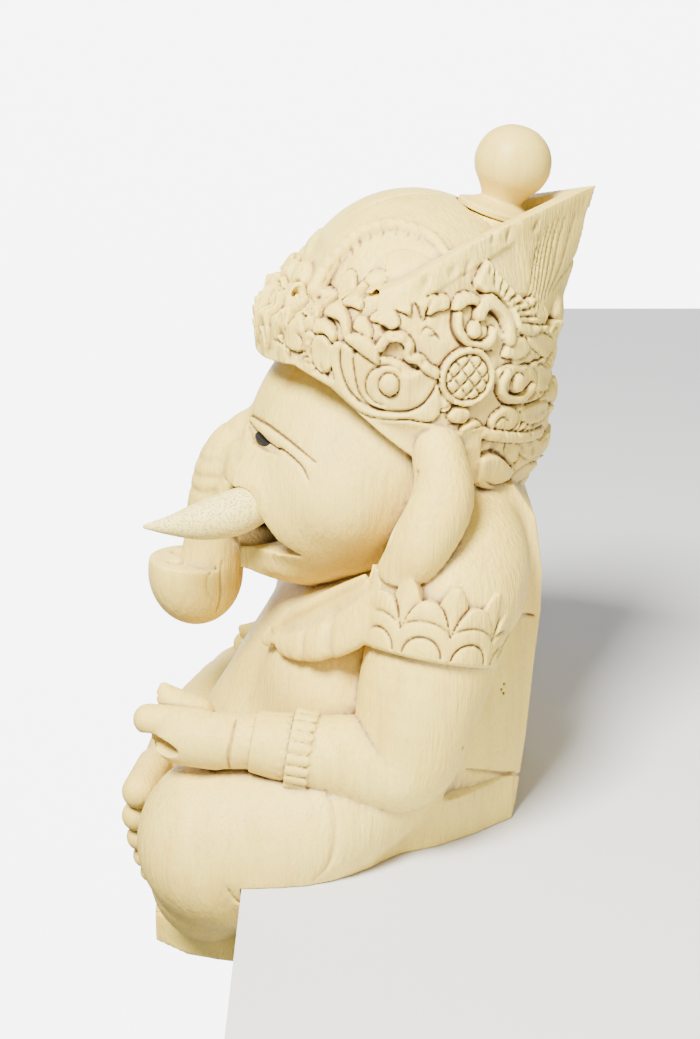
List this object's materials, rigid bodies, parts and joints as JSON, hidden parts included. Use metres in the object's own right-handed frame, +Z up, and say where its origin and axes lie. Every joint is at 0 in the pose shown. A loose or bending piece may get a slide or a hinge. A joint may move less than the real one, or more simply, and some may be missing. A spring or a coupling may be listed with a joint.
{
  "type": "shelf-sitter figure",
  "caption": "Carved pale-wood elephant-headed figure seated on a shelf's edge, legs in front, with a leaf-carved crown, raised trunk, tusks and topknot.",
  "frame": {"origin": "middle of the seat's flat underside, in the plane that rests on the shelf", "axes": "+Z up, the face looks towards -Y, +X towards the figure's own left side"},
  "size_m": [0.1485, 0.1315, 0.2351],
  "materials": {
    "carved_wood": "raw pale wood, hand-carved, matt",
    "topknot_wood": "raw pale wood, turned smooth, matt",
    "tusk_wood": "raw paler open-grained wood, matt"
  },
  "bodies": {
    "root": {"figure": "carved_wood", "topknot": "topknot_wood", "tusk_left": "tusk_wood", "tusk_right": "tusk_wood"}
  },
  "joints": []
}
